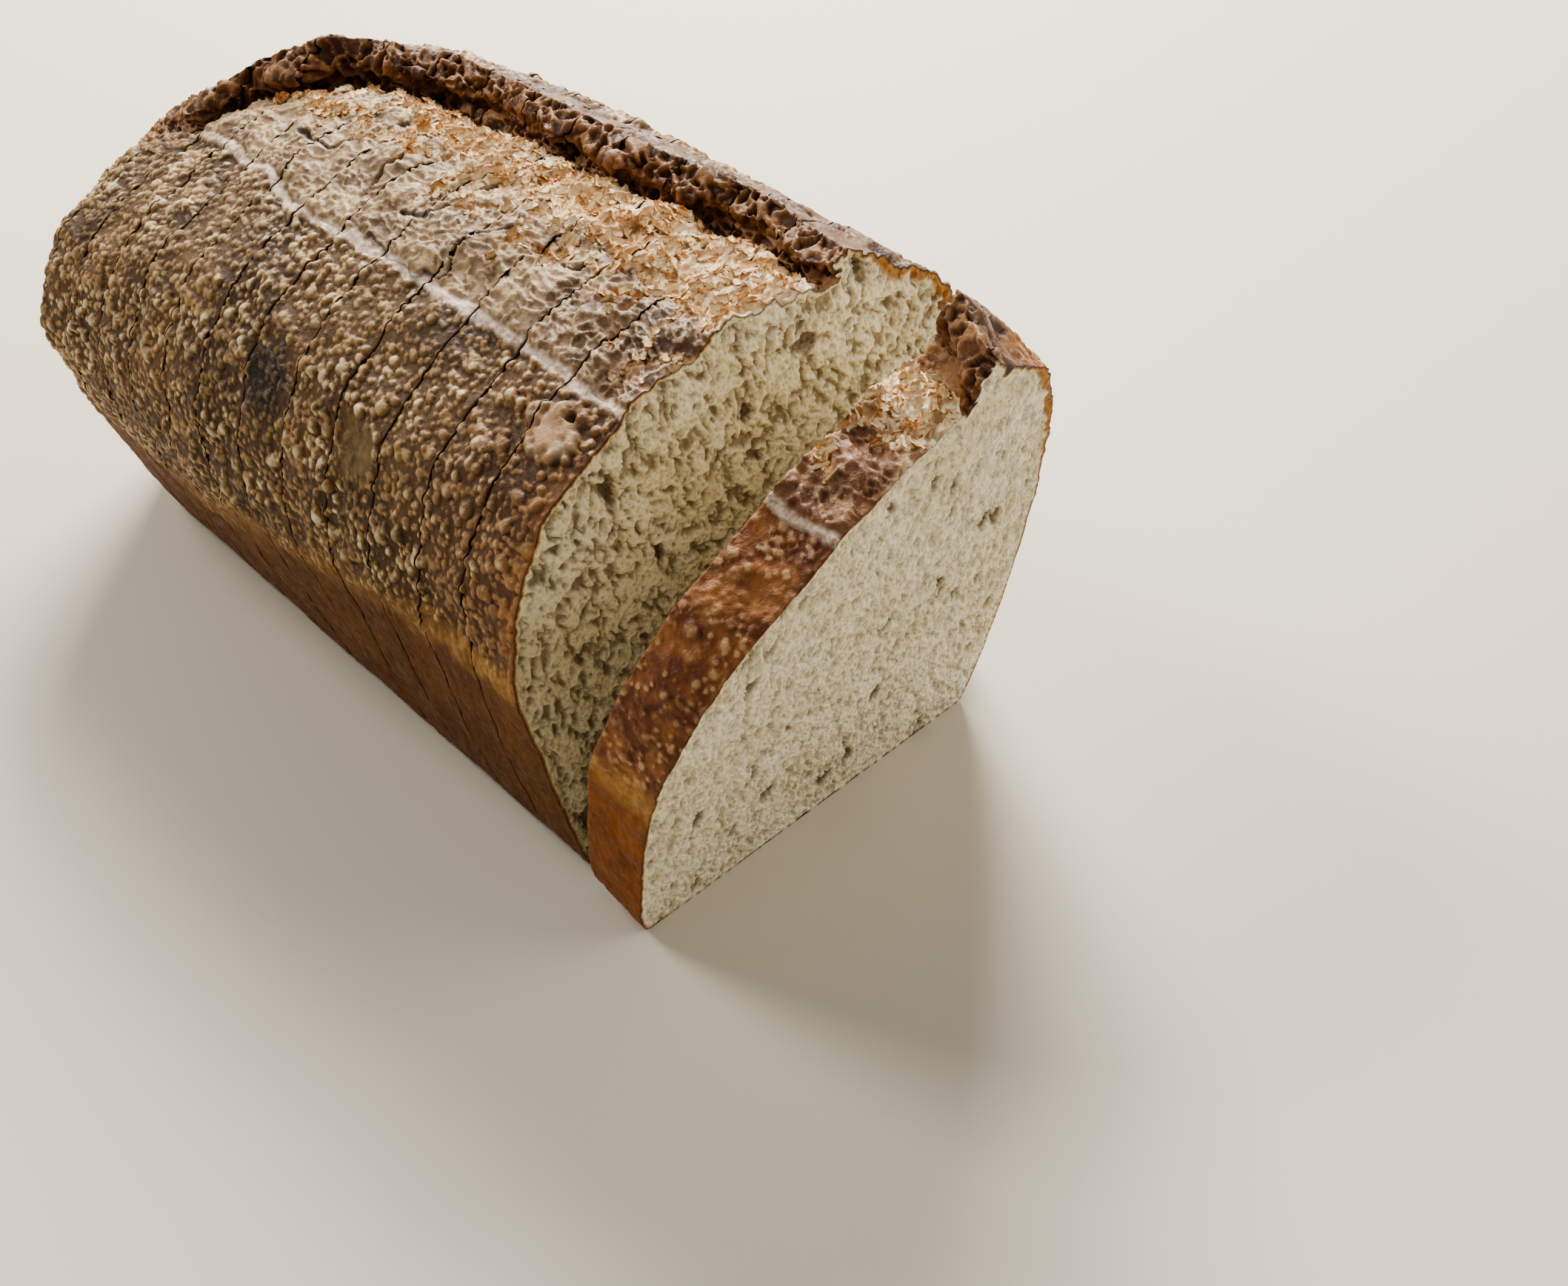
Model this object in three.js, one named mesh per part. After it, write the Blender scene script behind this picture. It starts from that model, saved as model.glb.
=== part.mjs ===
import * as THREE from 'three';

// Sourdough loaf baked in a tin and cut across into even slices.
// The slices still stand together in the loaf's shape, and the first one leans forward off the cut.
// Millimetres, +Z up. +Y runs along the loaf from its cut face to its whole end.
// The origin is level with the bread's underside, below the middle of the whole thing.

// Cuts
const CUT_PITCH = 13.8;
const CUT_GAP = 0.3;
const EVEN_SLICES = 13;
const LOAF_LENGTH = 200;
const RINGS_IN_SLICE = 4;
const RINGS_IN_END = 11;

// Section at the cut face without the ear, as [across, up] points from the left foot to the right
const DOME = [
  [-45.5, 0], [-48.6, 2.4], [-52.5, 17], [-55.5, 35], [-57.6, 53], [-54.5, 69], [-46.5, 82],
  [-30, 92], [-12, 98], [2, 100], [11, 98.6], [20, 97.6], [31, 95.2], [41, 89], [47.5, 78],
  [51, 62], [52, 45], [51, 28], [48.8, 12], [46.5, 2.2], [44, 0],
];
const LEFT_STEPS = 38;
const RIGHT_STEPS = 31;
const SHOULDER_HEIGHT = 53;
const STRIPE_ACROSS = -29;
const TOP_SHARES = [0.25, 0.75];
const HALVINGS = 20;

// Ear: the lifted edge of crust to the right of the long tear
const EAR_ACROSS = [
  [-13.5, 6.4], [0, 12], [20, 12.5], [50, 9.5], [80, 7],
  [105, 6], [125, 1], [143, -10], [160, -24], [200, -34],
];
const EAR_RISE = [
  [0, 4.4], [22, 7.6], [100, 9], [140, 10.5],
];
const EAR_REACH = 26;
const CORNER_ACROSS = [
  [-13.5, 6], [0, 9], [30, 8.5],
];
const GUTTER_SHARE = 0.4;
const GUTTER_DEPTH = 2.4;
const GUTTER_VARIATION = 1.8;
const ROOT_SHARE = 0.7;
const ROOT_RISE = 0.08;
const NOSE_SHARE = 0.42;
const NOSE_RISE = 0.5;
const NOSE_VARIATION = 2.2;
const EAR_FADE = [134, 192];

// Rise of the crown along the loaf, and the rounding of the whole end
const CROWN_RISE = 0.083;
const CROWN_SPAN = 150;
const CROWN_LEFT = -20;
const CROWN_RIGHT = 18;
const DOME_START = 72;
const DOME_POWER = 2.5;
const PLAN_ROUNDING = 37;
const PLAN_POWER = 1.4;
const PLAN_ROOT = 2;
const END_WALL_LEAN = 6;
const END_CLOSING = 0.985;
const WALL_CLOSING = 0.9;

// Spread of the dough over the tin's rim towards the middle of the loaf
const FLARE = 0.11;
const FLARE_RIGHT_SHARE = 0.35;
const FLARE_LENGTH = 130;

// First slice, which leans forward, turns a little and sags as it stands
const LEAN_DEGREES = 18.4;
const FOOT_TURN_DEGREES = 3;
const TWIST_DEGREES = 8.5;
const SAG = 2.4;
const BEND_HEIGHT = 100;
const FOOT_FORWARD = 5.4;
const FOOT_ASIDE = -3.2;
const FOOT_PIVOT = -48.5;
const FIRST_SLICE = { earShift: -6, inset: 8.5, moreRise: 6.1 };
const INSET_HEIGHT = 12;

// Relief of the crust
const SEED = 41;
const MIXERS = [374761393, 668265263, 2147483647, 1274126177, 2246822519];
const WALL_RELIEF = 0.35;
const SHOULDER_RELIEF = 0.7;
const TEAR_RELIEF = 1.5;
const EAR_RELIEF = 1.1;
const RELIEF_SIZE = 6.5;
const GUTTER_SIZE = 11;
const NOSE_SIZE = 6;
const EAR_HEIGHTS = [70, 95];
const FLAT_HEIGHT = 1.5;

const CRUST_COLOUR = '#8b6742';
const CRUMB_COLOUR = '#d6c7a4';

const clamp = THREE.MathUtils.clamp;
const lerp = THREE.MathUtils.lerp;
const smoothstep = THREE.MathUtils.smoothstep;
const radians = THREE.MathUtils.degToRad;

// Random value from -1 to 1 that belongs to one cell of a grid
function cellValue(i, j, k) {
  let mixed = [i, j, k, SEED].reduce((sum, value, at) => sum ^ Math.imul(value, MIXERS[at]), 0);
  for (const mixer of MIXERS.slice(-2)) mixed = Math.imul(mixed ^ (mixed >>> 15), mixer);
  return ((mixed ^ (mixed >>> 16)) >>> 0) / 2 ** 31 - 1;
}

// Smooth random value from -1 to 1 at a place in space
function noise(x, y, z) {
  const cell = [x, y, z].map(Math.floor);
  const part = [x - cell[0], y - cell[1], z - cell[2]].map((t) => t * t * (3 - 2 * t));
  const value = (i, j, k) => cellValue(cell[0] + i, cell[1] + j, cell[2] + k);
  const row = (j, k) => lerp(value(0, j, k), value(1, j, k), part[0]);
  const layer = (k) => lerp(row(0, k), row(1, k), part[1]);
  return lerp(layer(0), layer(1), part[2]);
}

// Value of a broken line of [place, value] points
function along(line, place) {
  const next = Math.max(1, line.findIndex(([at]) => at > place));
  const end = place >= line.at(-1)[0] ? line.length - 1 : next;
  const [[a, from], [b, to]] = [line[end - 1], line[end]];
  return lerp(from, to, smoothstep(place, a, b));
}

const domeCurve = new THREE.SplineCurve(DOME.map(([x, z]) => new THREE.Vector2(x, z)));

// Share of the dome's outline at which its top passes a place across the loaf
function shareAt(across) {
  let [low, high] = TOP_SHARES;
  for (let i = 0; i < HALVINGS; i += 1) {
    const middle = (low + high) / 2;
    [low, high] = domeCurve.getPointAt(middle).x < across ? [middle, high] : [low, middle];
  }
  return low;
}

// Points of the dome's outline between two shares of its length
function domePoints(from, to, steps) {
  return Array.from({ length: steps + 1 }, (_, i) => domeCurve.getPointAt(lerp(from, to, i / steps)));
}

// How far the top stands above the shoulders, as a share of its height at the cut face
function crownFactor(x, y) {
  const side = 1 - smoothstep(x, CROWN_LEFT, CROWN_RIGHT);
  const rise = CROWN_RISE * side * Math.sin(Math.PI * clamp(y / CROWN_SPAN, 0, 1));
  const end = clamp((y - DOME_START) / (LOAF_LENGTH - DOME_START), 0, END_CLOSING);
  return (1 + rise) * (1 - end ** DOME_POWER) ** (1 / DOME_POWER);
}

// Width along the loaf, as a share of its width at the cut face
function planFactor(y) {
  const end = clamp((y - LOAF_LENGTH + PLAN_ROUNDING) / PLAN_ROUNDING, 0, END_CLOSING);
  return (1 - end ** PLAN_POWER) ** (1 / PLAN_ROOT);
}

// Spread of a point of the outline over the tin's rim, as a share of its distance from the middle
function flareFactor(point, y) {
  const side = point.x < 0 ? 1 : FLARE_RIGHT_SHARE;
  return 1 + FLARE * side * smoothstep(y, 0, FLARE_LENGTH) * smoothstep(point.y, 0, SHOULDER_HEIGHT);
}

// Height at which the leaning end wall begins at a station
function endWallHeight(y) {
  return SHOULDER_HEIGHT * WALL_CLOSING * clamp((y - LOAF_LENGTH + END_WALL_LEAN) / END_WALL_LEAN, 0, 1);
}

// Wall between the tear's lip and the ear's corner: gutter, root and ragged nose, from the lip upwards.
// Where the ear fades out it is drawn straight.
function earWall(y, lip, corner, across, rise, fade) {
  const gutter = GUTTER_DEPTH + GUTTER_VARIATION * noise(y / GUTTER_SIZE, 0, 0);
  const nose = NOSE_SHARE * across + NOSE_VARIATION * noise(y / NOSE_SIZE, GUTTER_SIZE, 0);
  const shape = [
    [GUTTER_SHARE * across, -gutter],
    [ROOT_SHARE * across, ROOT_RISE * rise],
    [nose, NOSE_RISE * rise],
  ];
  return shape.map(([aside, up], i) => {
    const straight = lip.clone().lerp(corner, (i + 1) / (shape.length + 1));
    return straight.lerp(new THREE.Vector2(lip.x + aside, lip.y + up), fade);
  });
}

// Closed outline of the loaf at a station, before the crown and the rounding of the end
function outline(y, { earShift = 0, inset = 0, moreRise = 0 } = {}) {
  const fade = 1 - smoothstep(y, ...EAR_FADE);
  const rise = (along(EAR_RISE, y) + moreRise) * fade;
  const lip = along(EAR_ACROSS, y) + earShift;
  const across = along(CORNER_ACROSS, y);
  const left = domePoints(0, shareAt(lip), LEFT_STEPS);
  const right = domePoints(shareAt(lip + across), 1, RIGHT_STEPS);
  const top = right[0].y;
  for (const point of right) {
    const beyond = clamp((point.x - lip - across) / EAR_REACH, 0, 1);
    const below = clamp((top - point.y) / INSET_HEIGHT, 0, 1);
    point.x -= inset * below;
    point.y += rise * (1 - beyond) ** 2 * (1 - below);
  }
  return [...left, ...earWall(y, left.at(-1), right[0], across, rise, fade), ...right];
}

// Depth of the crust's relief at a point of the outline
function reliefDepth(index, point) {
  if (point.y < FLAT_HEIGHT) return 0;
  if (index > LEFT_STEPS + 1) return lerp(WALL_RELIEF, EAR_RELIEF, smoothstep(point.y, ...EAR_HEIGHTS));
  if (point.y < SHOULDER_HEIGHT) return WALL_RELIEF;
  return point.x < STRIPE_ACROSS ? SHOULDER_RELIEF : TEAR_RELIEF;
}

// Ring of points in space round the loaf at a station, with the crust's relief in it
function ring(y, variation) {
  const points = outline(y, variation);
  const base = endWallHeight(y);
  const plan = planFactor(y);
  return points.map((point, i) => {
    const before = points[(i + points.length - 1) % points.length];
    const after = points[(i + 1) % points.length];
    const outward = new THREE.Vector2(before.y - after.y, after.x - before.x).normalize();
    const grain = noise(point.x / RELIEF_SIZE, y / RELIEF_SIZE, point.y / RELIEF_SIZE);
    const moved = point.clone().addScaledVector(outward, grain * reliefDepth(i, point) * plan);
    const lifted = moved.y > SHOULDER_HEIGHT
      ? SHOULDER_HEIGHT + (moved.y - SHOULDER_HEIGHT) * crownFactor(moved.x, y)
      : lerp(base, SHOULDER_HEIGHT, moved.y / SHOULDER_HEIGHT);
    return new THREE.Vector3(moved.x * plan * flareFactor(moved, y), y, lifted);
  });
}

// Flat face inside a ring, turned towards -Y with side 1 and towards +Y with side -1
function cap(points, first, side) {
  const flat = points.map((p) => new THREE.Vector2(p.x, p.z));
  return THREE.ShapeUtils.triangulateShape(flat, []).flatMap((corners) => {
    const turned = THREE.ShapeUtils.area(corners.map((i) => flat[i])) * side > 0;
    return (turned ? corners : corners.toReversed()).map((i) => first + i);
  });
}

// Closed solid through rings that all have the same number of points
function loft(rings) {
  const count = rings[0].length;
  const last = (rings.length - 1) * count;
  const index = [];
  for (let r = 0; r < rings.length - 1; r += 1) {
    for (let i = 0; i < count; i += 1) {
      const a = r * count + i;
      const b = r * count + ((i + 1) % count);
      index.push(a, b, a + count, b, b + count, a + count);
    }
  }
  index.push(...cap(rings[0], 0, 1), ...cap(rings.at(-1), last, -1));
  const geometry = new THREE.BufferGeometry().setFromPoints(rings.flat());
  geometry.setIndex(index);
  geometry.computeVertexNormals();
  return geometry;
}

function slice(from, to, rings, variation) {
  const stations = Array.from({ length: rings }, (_, i) => lerp(from, to, i / (rings - 1)));
  return loft(stations.map((y) => ring(y, variation)));
}

// End piece, with its rings drawn together where the end closes
function endPiece(from) {
  const stations = Array.from({ length: RINGS_IN_END }, (_, i) => {
    return lerp(from, LOAF_LENGTH, Math.sin((Math.PI / 2) * (i / (RINGS_IN_END - 1))));
  });
  return loft(stations.map((y) => ring(y)));
}

// Leaning slice: it stands on the front edge of its base and turns more the higher it goes
function leaningSlice() {
  const thickness = CUT_PITCH - CUT_GAP;
  const geometry = slice(-thickness, 0, RINGS_IN_SLICE, FIRST_SLICE);
  const lean = radians(LEAN_DEGREES);
  const position = geometry.attributes.position;
  for (let i = 0; i < position.count; i += 1) {
    const [x, y, z] = [position.getX(i), position.getY(i), position.getZ(i)];
    const turn = radians(FOOT_TURN_DEGREES + (TWIST_DEGREES * z) / BEND_HEIGHT);
    const forward = y * Math.cos(lean) - z * Math.sin(lean) - SAG * (z / BEND_HEIGHT) ** 2;
    const up = z * Math.cos(lean) + (y + thickness) * Math.sin(lean);
    const across = x - FOOT_PIVOT;
    position.setXYZ(
      i,
      across * Math.cos(turn) - forward * Math.sin(turn) + FOOT_PIVOT + FOOT_ASIDE,
      across * Math.sin(turn) + forward * Math.cos(turn) - FOOT_FORWARD,
      up,
    );
  }
  geometry.computeVertexNormals();
  return geometry;
}

function crust() {
  return new THREE.MeshStandardMaterial({ color: CRUST_COLOUR, roughness: 0.82, metalness: 0 });
}

function crumb() {
  return new THREE.MeshStandardMaterial({ color: CRUMB_COLOUR, roughness: 0.95, metalness: 0 });
}

function piece(name, geometry, material) {
  const mesh = new THREE.Mesh(geometry, material);
  mesh.name = name;
  return mesh;
}

function buildLoaf() {
  const loaf = new THREE.Group();
  loaf.add(piece('leaning_slice', leaningSlice(), crumb()));
  for (let i = 0; i < EVEN_SLICES; i += 1) {
    const from = i * CUT_PITCH;
    const name = `slice_${String(i + 1).padStart(2, '0')}`;
    loaf.add(piece(name, slice(from, from + CUT_PITCH - CUT_GAP, RINGS_IN_SLICE), crust()));
  }
  loaf.add(piece('end_piece', endPiece(EVEN_SLICES * CUT_PITCH), crust()));
  return loaf;
}

const loaf = buildLoaf();
const box = new THREE.Box3().setFromObject(loaf, true);
const middle = box.getCenter(new THREE.Vector3());
loaf.position.set(-middle.x, -middle.y, -box.min.z);
loaf.updateMatrixWorld(true);

const group = new THREE.Group();
group.add(loaf);

export default group;
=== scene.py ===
import itertools
import math
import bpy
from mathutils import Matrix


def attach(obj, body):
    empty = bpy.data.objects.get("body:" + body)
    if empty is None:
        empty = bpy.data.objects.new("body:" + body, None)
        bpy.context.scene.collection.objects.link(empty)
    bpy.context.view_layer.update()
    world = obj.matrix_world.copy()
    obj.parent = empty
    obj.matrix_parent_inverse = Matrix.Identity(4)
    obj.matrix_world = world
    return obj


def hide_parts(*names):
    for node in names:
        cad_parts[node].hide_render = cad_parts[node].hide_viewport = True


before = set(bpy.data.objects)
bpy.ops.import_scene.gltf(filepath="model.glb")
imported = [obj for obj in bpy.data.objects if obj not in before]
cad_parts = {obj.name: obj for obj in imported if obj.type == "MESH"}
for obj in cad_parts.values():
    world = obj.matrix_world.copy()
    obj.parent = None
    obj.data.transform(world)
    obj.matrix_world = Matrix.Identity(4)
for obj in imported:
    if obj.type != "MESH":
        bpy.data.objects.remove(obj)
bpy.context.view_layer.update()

from types import SimpleNamespace

import bpy
import numpy as np
from mathutils import Matrix, Vector
from mathutils.geometry import delaunay_2d_cdt

# Form of the loaf in millimetres, with its cut face at y 0
CUT_PITCH = 13.8
CUT_GAP = 0.3
THICKNESS = CUT_PITCH - CUT_GAP
EVEN_SLICES = 13
LOAF_LENGTH = 200
DOME = np.array([
    [-45.5, 0], [-48.6, 2.4], [-52.5, 17], [-55.5, 35], [-57.6, 53], [-54.5, 69], [-46.5, 82],
    [-30, 92], [-12, 98], [2, 100], [11, 98.6], [20, 97.6], [31, 95.2], [41, 89], [47.5, 78],
    [51, 62], [52, 45], [51, 28], [48.8, 12], [46.5, 2.2], [44, 0],
])
SHOULDER = 53
# Shares of the dome's length between which its top lies, and the steps of its curve
TOP_SHARES = (0.25, 0.75)
STEPS_IN_DOME = 4001

# The tear's lip, the ear's height and the ear's corner beyond the lip, as (station, value)
EAR_ACROSS = (
    (-13.5, 6.4), (0, 12), (20, 12.5), (50, 9.5), (80, 7), (105, 6), (125, 1), (143, -10), (160, -24),
    (200, -34),
)
EAR_RISE = ((0, 4.4), (22, 7.6), (100, 9), (140, 10.5))
CORNER_ACROSS = ((-13.5, 6), (0, 9), (30, 8.5))
EAR_REACH = 26
EAR_FADE = (134, 192)
GUTTER_SHARE, GUTTER_DEPTH, GUTTER_VARIATION, GUTTER_SIZE = 0.4, 2.4, 1.8, 11
ROOT_SHARE, ROOT_RISE = 0.7, 0.08
NOSE_SHARE, NOSE_RISE, NOSE_VARIATION, NOSE_SIZE = 0.42, 0.5, 2.2, 6

# Crown along the loaf, and the rounding of its whole end
CROWN_RISE, CROWN_SPAN, CROWN_LEFT, CROWN_RIGHT = 0.083, 150, -20, 18
DOME_START, DOME_POWER = 72, 2.5
PLAN_ROUNDING, PLAN_POWER, PLAN_ROOT = 37, 1.4, 2
END_WALL_LEAN, WALL_CLOSING, END_CLOSING = 6, 0.9, 0.999
FLARE, FLARE_RIGHT_SHARE, FLARE_LENGTH = 0.11, 0.35, 130

# Stand of the leaning slice, and how its section differs
LEAN, FOOT_TURN, TWIST = math.radians(18.4), math.radians(3), math.radians(8.5)
SAG, BEND_HEIGHT, FOOT_FORWARD, FOOT_ASIDE, FOOT_PIVOT = 2.4, 100, 5.4, -3.2, -48.5
FIRST_SLICE = {"ear_shift": -6, "inset": 8.5, "more_rise": 6.1}
INSET_HEIGHT = 12

# Low relief: its depth on each stretch of the section and its size
WALL_RELIEF, SHOULDER_RELIEF, TEAR_RELIEF, EAR_RELIEF = 0.35, 0.7, 1.5, 1.1
TEAR_RELIEF_FROM = -29
EAR_RELIEF_HEIGHTS = (70, 95)
RELIEF_SIZE = 6.5

# Seed of what varies, large odd numbers that mix the bits of a place, and the reach of scattered points
SEED = 41
MIXERS = np.array([374761393, 668265263, 2147483647, 1274126177, 2246822519], dtype=np.uint32)
POINT_SCATTER = 0.46

# Place of the loaf's form in the shared frame, in millimetres
TO_FRAME = np.array([4.9808, -77.3136, 0])
MILLIMETRES = 1000

# Shares of each stretch of the outline at which the crust's columns stand, and the rows of a slice
LEFT_COLUMNS = np.concatenate([np.linspace(0, 0.3, 60, endpoint=False), np.linspace(0.3, 1, 360)])
WALL_COLUMNS = 16
RIGHT_COLUMNS = np.concatenate([
    np.linspace(0, 0.14, 48, endpoint=False),
    np.linspace(0.14, 0.7, 190, endpoint=False),
    np.linspace(0.7, 1, 24),
])
BASE_COLUMNS = 30
ROWS_IN_SLICE = 42
ROWS_IN_END = 66
LEFT, WALL, RIGHT, BASE = range(4)


def clip01(value):
    return np.clip(value, 0, 1)


def smooth(value, low, high):
    """0 below low and 1 above high, or the other way round"""
    t = clip01((value - low) / (high - low))
    return t * t * (3 - 2 * t)


def lattice(cell, seed):
    """Random values from -1 to 1 at whole-number places"""
    parts = [cell[..., i].astype(np.int64).astype(np.uint32) * MIXERS[i] for i in range(3)]
    mixed = parts[0] ^ parts[1] ^ parts[2] ^ (np.array([seed], dtype=np.uint32) * MIXERS[3])
    for mixer in MIXERS[-2:]:
        mixed = (mixed ^ (mixed >> np.uint32(15))) * mixer
    return (mixed ^ (mixed >> np.uint32(16))) / 2.0 ** 31 - 1


def noise(place, size, seed=SEED):
    """Smooth random value from -1 to 1 at places in space"""
    scaled = place / size
    cell = np.floor(scaled)
    t = scaled - cell
    t = t * t * (3 - 2 * t)
    total = 0
    for corner in itertools.product((0, 1), repeat=3):
        weight = np.prod(np.where(np.array(corner) == 1, t, 1 - t), axis=-1)
        total = total + weight * lattice(cell + corner, seed)
    return total


def layered(place, size, layers, seed=SEED):
    """Noise with ever finer noise added"""
    total = sum(noise(place, size / 2 ** i, seed + i) / 2 ** i for i in range(layers))
    return total / (2 - 2 / 2 ** layers)


def ridges(place, size, seed, sharpness):
    """Share of thin winding ridges, 1 along the middle of each"""
    return clip01(1 - np.abs(layered(place, size, 2, seed)) * sharpness)


def warp(place, size, reach, seed):
    """Places moved about a little, so that what follows them is irregular"""
    return place + reach * np.stack([noise(place, size, seed + i) for i in range(3)], axis=-1)


def cells(place, size, seed):
    """Distances in sizes to the nearest and the next of scattered points, and the nearest one's own value"""
    scaled = place / size
    home = np.floor(scaled)
    near = np.full(place.shape[:-1], 9.0)
    next_near = near.copy()
    own = np.zeros_like(near)
    for offset in itertools.product((-1, 0, 1), repeat=3):
        cell = home + offset
        aside = np.stack([lattice(cell, seed + i) for i in range(3)], axis=-1)
        distance = np.linalg.norm(scaled - (cell + 0.5 + POINT_SCATTER * aside), axis=-1)
        nearer = distance < near
        next_near = np.where(nearer, near, np.minimum(next_near, distance))
        own = np.where(nearer, lattice(cell, seed + 3) / 2 + 0.5, own)
        near = np.where(nearer, distance, near)
    return near, next_near, own


def dome_table():
    """The dome's smooth curve through its points at even steps, as shares of its length and points"""
    last = len(DOME) - 1
    steps = np.linspace(0, last, STEPS_IN_DOME)
    at = np.minimum(steps.astype(int), last - 1)
    t = (steps - at)[:, None]
    a, b, c, d = (DOME[np.clip(at + i, 0, last)] for i in (-1, 0, 1, 2))
    rise, fall = (c - a) / 2, (d - b) / 2
    squared = -3 * b + 3 * c - 2 * rise - fall
    cubed = 2 * b - 2 * c + rise + fall
    points = cubed * t ** 3 + squared * t ** 2 + rise * t + b
    length = np.concatenate([[0], np.cumsum(np.linalg.norm(np.diff(points, axis=0), axis=1))])
    return length / length[-1], points


DOME_SHARES, DOME_POINTS = dome_table()
ON_TOP = (DOME_SHARES > TOP_SHARES[0]) & (DOME_SHARES < TOP_SHARES[1])


def dome_at(share):
    """Points of the dome at shares of its length"""
    return np.stack([np.interp(share, DOME_SHARES, line) for line in DOME_POINTS.T], axis=-1)


def share_at(across):
    """Share of the dome's length at places across its top"""
    return np.interp(across, DOME_POINTS[ON_TOP, 0], DOME_SHARES[ON_TOP])


def along(line, place):
    """Values of a smooth broken line of (place, value) points"""
    at, value = np.array(line, dtype=float).T
    i = np.clip(np.searchsorted(at, place, side="right"), 1, len(at) - 1)
    return value[i - 1] + (value[i] - value[i - 1]) * smooth(place, at[i - 1], at[i])


def ear_wall(y, lip, corner, across, rise, fade):
    """Wall between the tear's lip and the ear's corner: gutter, root and ragged nose"""
    spot = np.stack([y / GUTTER_SIZE, 0 * y, 0 * y], axis=-1)
    gutter = GUTTER_DEPTH + GUTTER_VARIATION * noise(spot, 1)
    spot = np.stack([y / NOSE_SIZE, 0 * y + GUTTER_SIZE, 0 * y], axis=-1)
    nose = NOSE_SHARE * across + NOSE_VARIATION * noise(spot, 1)
    shape = (
        (GUTTER_SHARE * across, -gutter),
        (ROOT_SHARE * across, ROOT_RISE * rise),
        (nose, NOSE_RISE * rise),
    )
    stops = [lip]
    for i, (aside, up) in enumerate(shape):
        straight = lip + (corner - lip) * (i + 1) / (len(shape) + 1)
        bent = lip + np.stack([aside, up], axis=-1)
        stops.append(straight + (bent - straight) * fade[:, None])
    stops.append(corner)
    steps = np.arange(WALL_COLUMNS) / WALL_COLUMNS
    parts = [a[:, None] + (b - a)[:, None] * steps[None, :, None] for a, b in zip(stops, stops[1:])]
    return np.concatenate(parts, axis=1)[:, 1:]


def outline(y, ear_shift=0, inset=0, more_rise=0):
    """Section at each station before the crown and the end's rounding, and each column's stretch"""
    fade = 1 - smooth(y, *EAR_FADE)
    rise = (along(EAR_RISE, y) + more_rise) * fade
    lip = along(EAR_ACROSS, y) + ear_shift
    across = along(CORNER_ACROSS, y)
    left = dome_at(share_at(lip)[:, None] * LEFT_COLUMNS)
    first = share_at(lip + across)[:, None]
    right = dome_at(first + (1 - first) * RIGHT_COLUMNS)
    beyond = clip01((right[..., 0] - (lip + across)[:, None]) / EAR_REACH)
    below = clip01((right[:, :1, 1] - right[..., 1]) / INSET_HEIGHT)
    right[..., 0] -= inset * below
    right[..., 1] += rise[:, None] * (1 - beyond) ** 2 * (1 - below)
    wall = ear_wall(y, left[:, -1], right[:, 0], across, rise, fade)
    steps = np.linspace(0, 1, BASE_COLUMNS + 2)[1:-1, None]
    base = right[:, -1:] + (left[:, :1] - right[:, -1:]) * steps
    parts = (left, wall, right, base)
    stretch = np.repeat((LEFT, WALL, RIGHT, BASE), [part.shape[1] for part in parts])
    return np.concatenate(parts, axis=1), stretch


def with_relief(section, stretch, y, amount):
    """The section moved along its own outward directions by the crust's low relief"""
    x, z = section[..., 0], section[..., 1]
    step = np.roll(section, -1, axis=1) - np.roll(section, 1, axis=1)
    outward = np.stack([-step[..., 1], step[..., 0]], axis=-1)
    outward /= np.linalg.norm(outward, axis=-1, keepdims=True)
    right = WALL_RELIEF + (EAR_RELIEF - WALL_RELIEF) * smooth(z, *EAR_RELIEF_HEIGHTS)
    left = np.where(z < SHOULDER, WALL_RELIEF, np.where(x < TEAR_RELIEF_FROM, SHOULDER_RELIEF, TEAR_RELIEF))
    depth = np.where(stretch == LEFT, left, np.where(stretch == WALL, TEAR_RELIEF / 2, right))
    depth = depth * smooth(z, 0.5, 2)
    spot = np.stack([x, np.broadcast_to(y[:, None], x.shape), z], axis=-1)
    return section + outward * (noise(spot, RELIEF_SIZE) * depth * amount)[..., None]


def body(y, **variation):
    """Points of the loaf's surface by stations and columns, its section, and the columns' stretches"""
    section, stretch = outline(y, **variation)
    end = clip01((y - LOAF_LENGTH + PLAN_ROUNDING) / PLAN_ROUNDING) * END_CLOSING
    plan = ((1 - end ** PLAN_POWER) ** (1 / PLAN_ROOT))[:, None]
    moved = with_relief(section, stretch, y, plan)
    x, z = moved[..., 0], moved[..., 1]
    stations = np.broadcast_to(y[:, None], x.shape)
    side = 1 - smooth(x, CROWN_LEFT, CROWN_RIGHT)
    crown = 1 + CROWN_RISE * side * np.sin(math.pi * clip01(stations / CROWN_SPAN))
    closing = clip01((y - DOME_START) / (LOAF_LENGTH - DOME_START)) * END_CLOSING
    crown = crown * ((1 - closing ** DOME_POWER) ** (1 / DOME_POWER))[:, None]
    foot = (SHOULDER * WALL_CLOSING * clip01((y - LOAF_LENGTH + END_WALL_LEAN) / END_WALL_LEAN))[:, None]
    above = SHOULDER + (z - SHOULDER) * crown
    below = foot + (SHOULDER - foot) * z / SHOULDER
    share = np.where(x < 0, 1, FLARE_RIGHT_SHARE)
    flare = 1 + FLARE * share * smooth(stations, 0, FLARE_LENGTH) * smooth(z, 0, SHOULDER)
    up = np.where(z > SHOULDER, above, below)
    return np.stack([x * plan * flare, stations, up], axis=-1), section, stretch


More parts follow.
